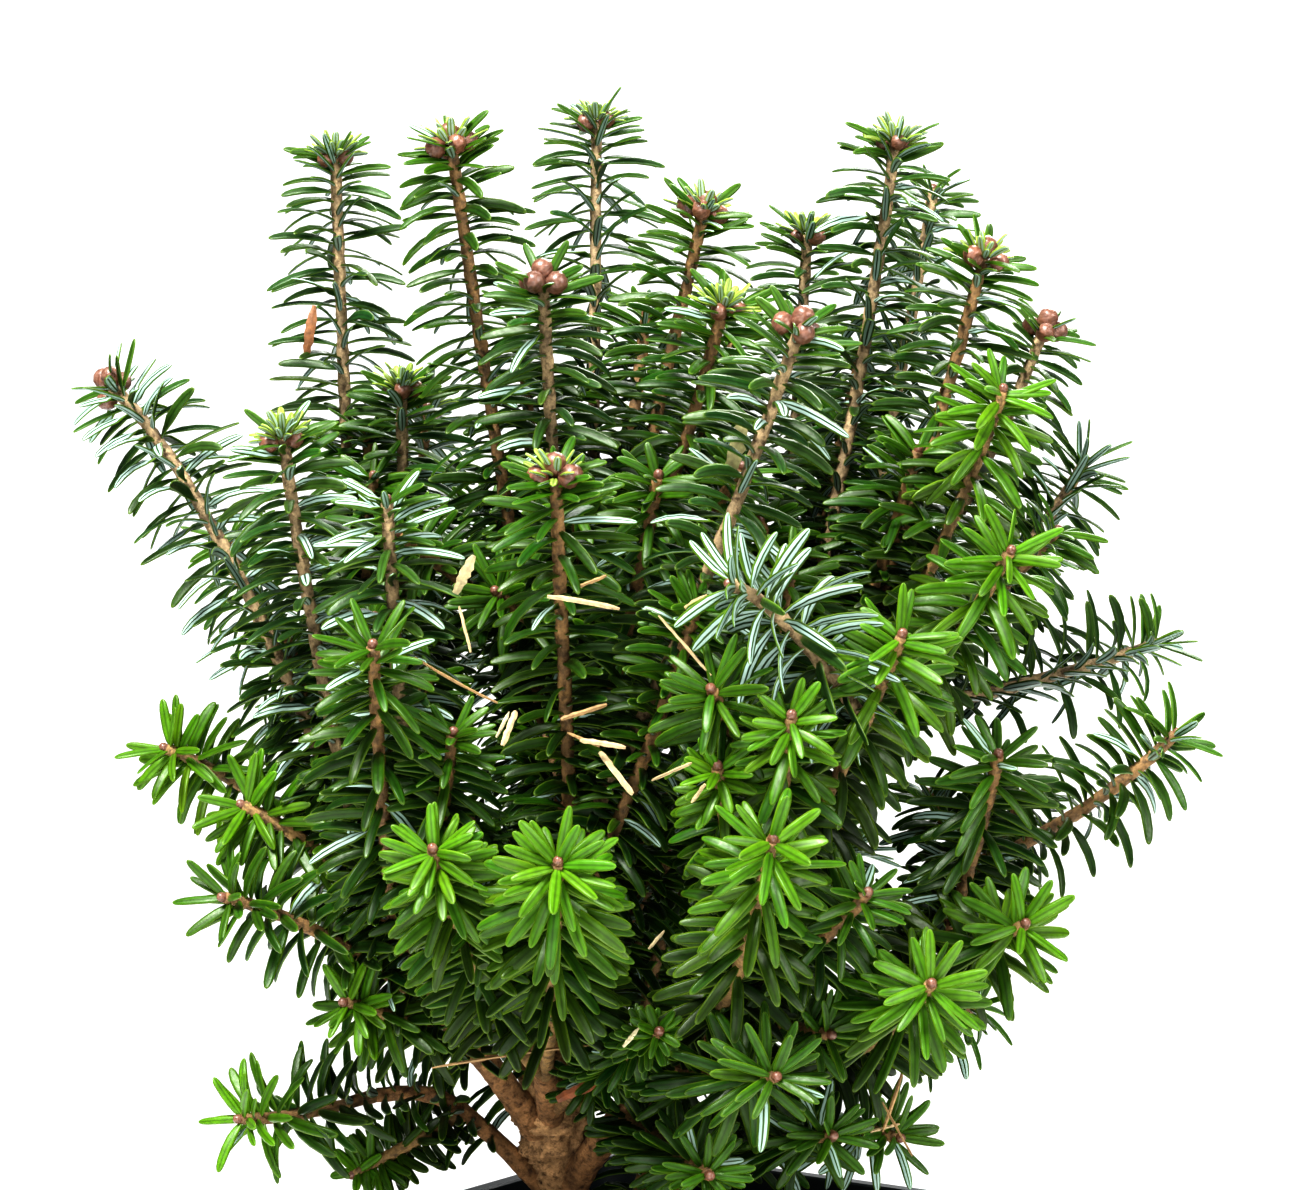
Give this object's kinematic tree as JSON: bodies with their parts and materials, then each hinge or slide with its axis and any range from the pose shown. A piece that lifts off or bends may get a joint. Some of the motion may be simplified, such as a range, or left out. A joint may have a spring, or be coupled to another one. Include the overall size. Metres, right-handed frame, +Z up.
{
  "type": "potted balsam fir",
  "caption": "Young balsam fir with upright needled shoots and clustered resting buds, growing on a gnarled trunk in a square black nursery pot.",
  "frame": {"origin": "middle of the pot's flat base, on the surface it stands on", "axes": "+Z up along the pot's axis; +X to the right and +Y away from someone who faces the tree's fuller, bright-tipped side; the square pot's sides are turned 35 degrees from X and Y"},
  "size_m": [0.2691, 0.2494, 0.4223],
  "materials": {
    "pot_plastic": "satin",
    "potting_soil": "matte",
    "bark": "matte",
    "needles_dark": "satin",
    "needles_blue": "satin",
    "needles_bright": "satin",
    "buds": "satin",
    "dry_litter": "matte"
  },
  "bodies": {
    "root": {"pot": "pot_plastic", "soil": "potting_soil", "trunk": "bark", "leader": "bark", "left_limb": "bark", "left_back_limb": "bark", "left_low_limb": "bark", "front_limb": "bark", "right_limb": "bark", "right_high_limb": "bark", "low_stem": "bark", "right_back_limb": "bark", "back_low_limb": "bark", "leader_shoot_1": "needles_dark", "leader_shoot_1_buds": "buds", "leader_shoot_2": "needles_blue", "leader_shoot_3": "needles_dark", "leader_shoot_3_buds": "buds", "leader_shoot_4": "needles_blue", "leader_shoot_4_buds": "buds", "left_limb_shoot_1": "needles_blue", "left_limb_shoot_1_buds": "buds", "left_limb_shoot_2": "needles_blue", "left_limb_shoot_3": "needles_blue", "left_limb_shoot_4": "needles_dark", "left_limb_shoot_5": "needles_bright", "left_limb_shoot_6": "needles_dark", "left_back_limb_shoot_1": "needles_blue", "left_back_limb_shoot_2": "needles_blue", "left_back_limb_shoot_3": "needles_bright", "left_back_limb_shoot_4": "needles_dark", "left_back_limb_shoot_5": "needles_dark", "left_low_limb_shoot_1": "needles_dark", "front_limb_shoot_1": "needles_dark", "front_limb_shoot_1_buds": "buds", "front_limb_shoot_2": "needles_bright", "front_limb_shoot_3": "needles_bright", "front_limb_shoot_4": "needles_blue", "front_limb_shoot_4_buds": "buds", "right_limb_shoot_1": "needles_bright", "right_limb_shoot_2": "needles_dark", "right_limb_shoot_3": "needles_bright", "right_limb_shoot_4": "needles_dark", "right_high_limb_shoot_1": "needles_blue", "right_high_limb_shoot_2": "needles_dark", "right_high_limb_shoot_2_buds": "buds", "right_high_limb_shoot_3": "needles_bright", "right_high_limb_shoot_4": "needles_bright", "right_high_limb_shoot_5": "needles_blue", "low_stem_shoot_1": "needles_dark", "low_stem_shoot_2": "needles_bright", "low_stem_shoot_3": "needles_bright", "low_stem_shoot_4": "needles_dark", "right_back_limb_shoot_1": "needles_blue", "right_back_limb_shoot_2": "needles_blue", "right_back_limb_shoot_2_buds": "buds", "right_back_limb_shoot_3": "needles_dark", "right_back_limb_shoot_4": "needles_dark", "back_low_limb_shoot_1": "needles_dark", "back_low_limb_shoot_2": "needles_dark"}
  },
  "joints": []
}
